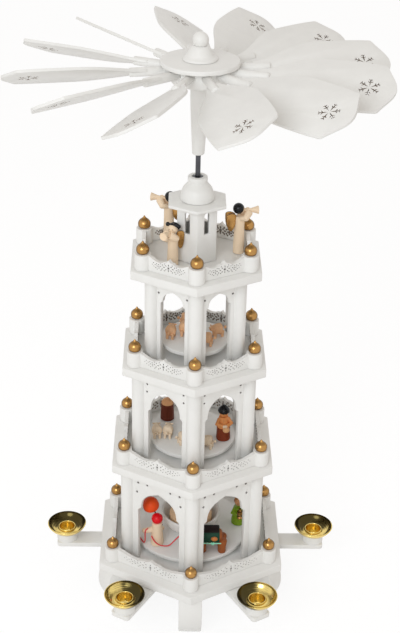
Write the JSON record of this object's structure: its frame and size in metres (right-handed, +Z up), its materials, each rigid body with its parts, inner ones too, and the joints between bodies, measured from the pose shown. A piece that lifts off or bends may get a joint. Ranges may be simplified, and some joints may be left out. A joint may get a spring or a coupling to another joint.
{
  "type": "christmas pyramid",
  "caption": "White wooden christmas pyramid: hexagonal columned storeys with figures on turntables, brass candle cups round the base, a tower and a wing wheel.",
  "frame": {"origin": "on the floor under the axis of the spindle, in the middle of the six feet", "axes": "+Z up along the spindle; -Y to the front, where one corner of every hexagonal plate points; +X to the right as seen from the front"},
  "size_m": [0.3186, 0.3186, 0.5596],
  "materials": {
    "white_paint": "white satin paint on turned and sawn wood",
    "brass": "polished sheet brass",
    "steel": "dark drawn steel rod",
    "pale_wood": "turned natural wood, partly painted, satin",
    "red_cord": "twisted red cord"
  },
  "bodies": {
    "stand": {"angel_1": "pale_wood", "angel_2": "pale_wood", "angel_3": "pale_wood", "base_plate": "white_paint", "bell_cap": "white_paint", "candle_arm_1": "white_paint", "candle_arm_2": "white_paint", "candle_arm_3": "white_paint", "candle_arm_4": "white_paint", "candle_arm_5": "white_paint", "candle_arm_6": "white_paint", "candle_cup_1": "brass", "candle_cup_2": "brass", "candle_cup_3": "brass", "candle_cup_4": "brass", "candle_cup_5": "brass", "candle_cup_6": "brass", "colonnade_1": "white_paint", "colonnade_2": "white_paint", "colonnade_3": "white_paint", "deck_1": "white_paint", "deck_2": "white_paint", "deck_3": "white_paint", "foot_bearing": "steel", "parapet_1": "white_paint", "parapet_2": "white_paint", "parapet_3": "white_paint", "parapet_4": "white_paint", "tower": "white_paint", "tower_roof": "white_paint", "upper_bush": "steel"},
    "rotor": {"bowl": "white_paint", "driver": "pale_wood", "elephant": "pale_wood", "hub": "white_paint", "hub_disc": "white_paint", "hub_knob": "white_paint", "king": "pale_wood", "lead_tail": "red_cord", "parasol": "pale_wood", "red_lead": "red_cord", "shaft": "white_paint", "shepherd_1": "pale_wood", "shepherd_2": "pale_wood", "spindle": "steel", "turntable_1": "white_paint", "turntable_2": "white_paint", "turntable_3": "white_paint"},
    "wing_1_blade": {"wing_1": "white_paint"},
    "wing_2_blade": {"wing_2": "white_paint"},
    "wing_3_blade": {"wing_3": "white_paint"},
    "wing_4_blade": {"wing_4": "white_paint"},
    "wing_5_blade": {"wing_5": "white_paint"},
    "wing_6_blade": {"wing_6": "white_paint"},
    "wing_7_blade": {"wing_7": "white_paint"},
    "wing_8_blade": {"wing_8": "white_paint"},
    "wing_9_blade": {"wing_9": "white_paint"},
    "wing_10_blade": {"wing_10": "white_paint"},
    "wing_11_blade": {"wing_11": "white_paint"},
    "wing_12_blade": {"wing_12": "white_paint"}
  },
  "joints": [
    {"name": "rotor_spin", "type": "hinge", "parent": "stand", "child": "rotor", "pos_m": [0, 0, 0], "axis": [0, 0, 1], "continuous": true},
    {"name": "wing_1_pitch", "type": "hinge", "parent": "rotor", "child": "wing_1_blade", "pos_m": [0, 0, 0.5277], "axis": [0.1908, -0.9816, 0], "range_deg": [-20, 60]},
    {"name": "wing_2_pitch", "type": "hinge", "parent": "rotor", "child": "wing_2_blade", "pos_m": [0, 0, 0.5277], "axis": [0.6561, -0.7547, 0], "range_deg": [-20, 60]},
    {"name": "wing_3_pitch", "type": "hinge", "parent": "rotor", "child": "wing_3_blade", "pos_m": [0, 0, 0.5277], "axis": [0.9455, -0.3256, 0], "range_deg": [-20, 60]},
    {"name": "wing_4_pitch", "type": "hinge", "parent": "rotor", "child": "wing_4_blade", "pos_m": [0, 0, 0.5277], "axis": [0.9816, 0.1908, 0], "range_deg": [-20, 60]},
    {"name": "wing_5_pitch", "type": "hinge", "parent": "rotor", "child": "wing_5_blade", "pos_m": [0, 0, 0.5277], "axis": [0.7547, 0.6561, 0], "range_deg": [-20, 60]},
    {"name": "wing_6_pitch", "type": "hinge", "parent": "rotor", "child": "wing_6_blade", "pos_m": [0, 0, 0.5277], "axis": [0.3256, 0.9455, 0], "range_deg": [-20, 60]},
    {"name": "wing_7_pitch", "type": "hinge", "parent": "rotor", "child": "wing_7_blade", "pos_m": [0, 0, 0.5277], "axis": [-0.1908, 0.9816, 0], "range_deg": [-20, 60]},
    {"name": "wing_8_pitch", "type": "hinge", "parent": "rotor", "child": "wing_8_blade", "pos_m": [0, 0, 0.5277], "axis": [-0.6561, 0.7547, 0], "range_deg": [-20, 60]},
    {"name": "wing_9_pitch", "type": "hinge", "parent": "rotor", "child": "wing_9_blade", "pos_m": [0, 0, 0.5277], "axis": [-0.9455, 0.3256, 0], "range_deg": [-20, 60]},
    {"name": "wing_10_pitch", "type": "hinge", "parent": "rotor", "child": "wing_10_blade", "pos_m": [0, 0, 0.5277], "axis": [-0.9816, -0.1908, 0], "range_deg": [-20, 60]},
    {"name": "wing_11_pitch", "type": "hinge", "parent": "rotor", "child": "wing_11_blade", "pos_m": [0, 0, 0.5277], "axis": [-0.7547, -0.6561, 0], "range_deg": [-20, 60]},
    {"name": "wing_12_pitch", "type": "hinge", "parent": "rotor", "child": "wing_12_blade", "pos_m": [0, 0, 0.5277], "axis": [-0.3256, -0.9455, 0], "range_deg": [-20, 60]}
  ]
}
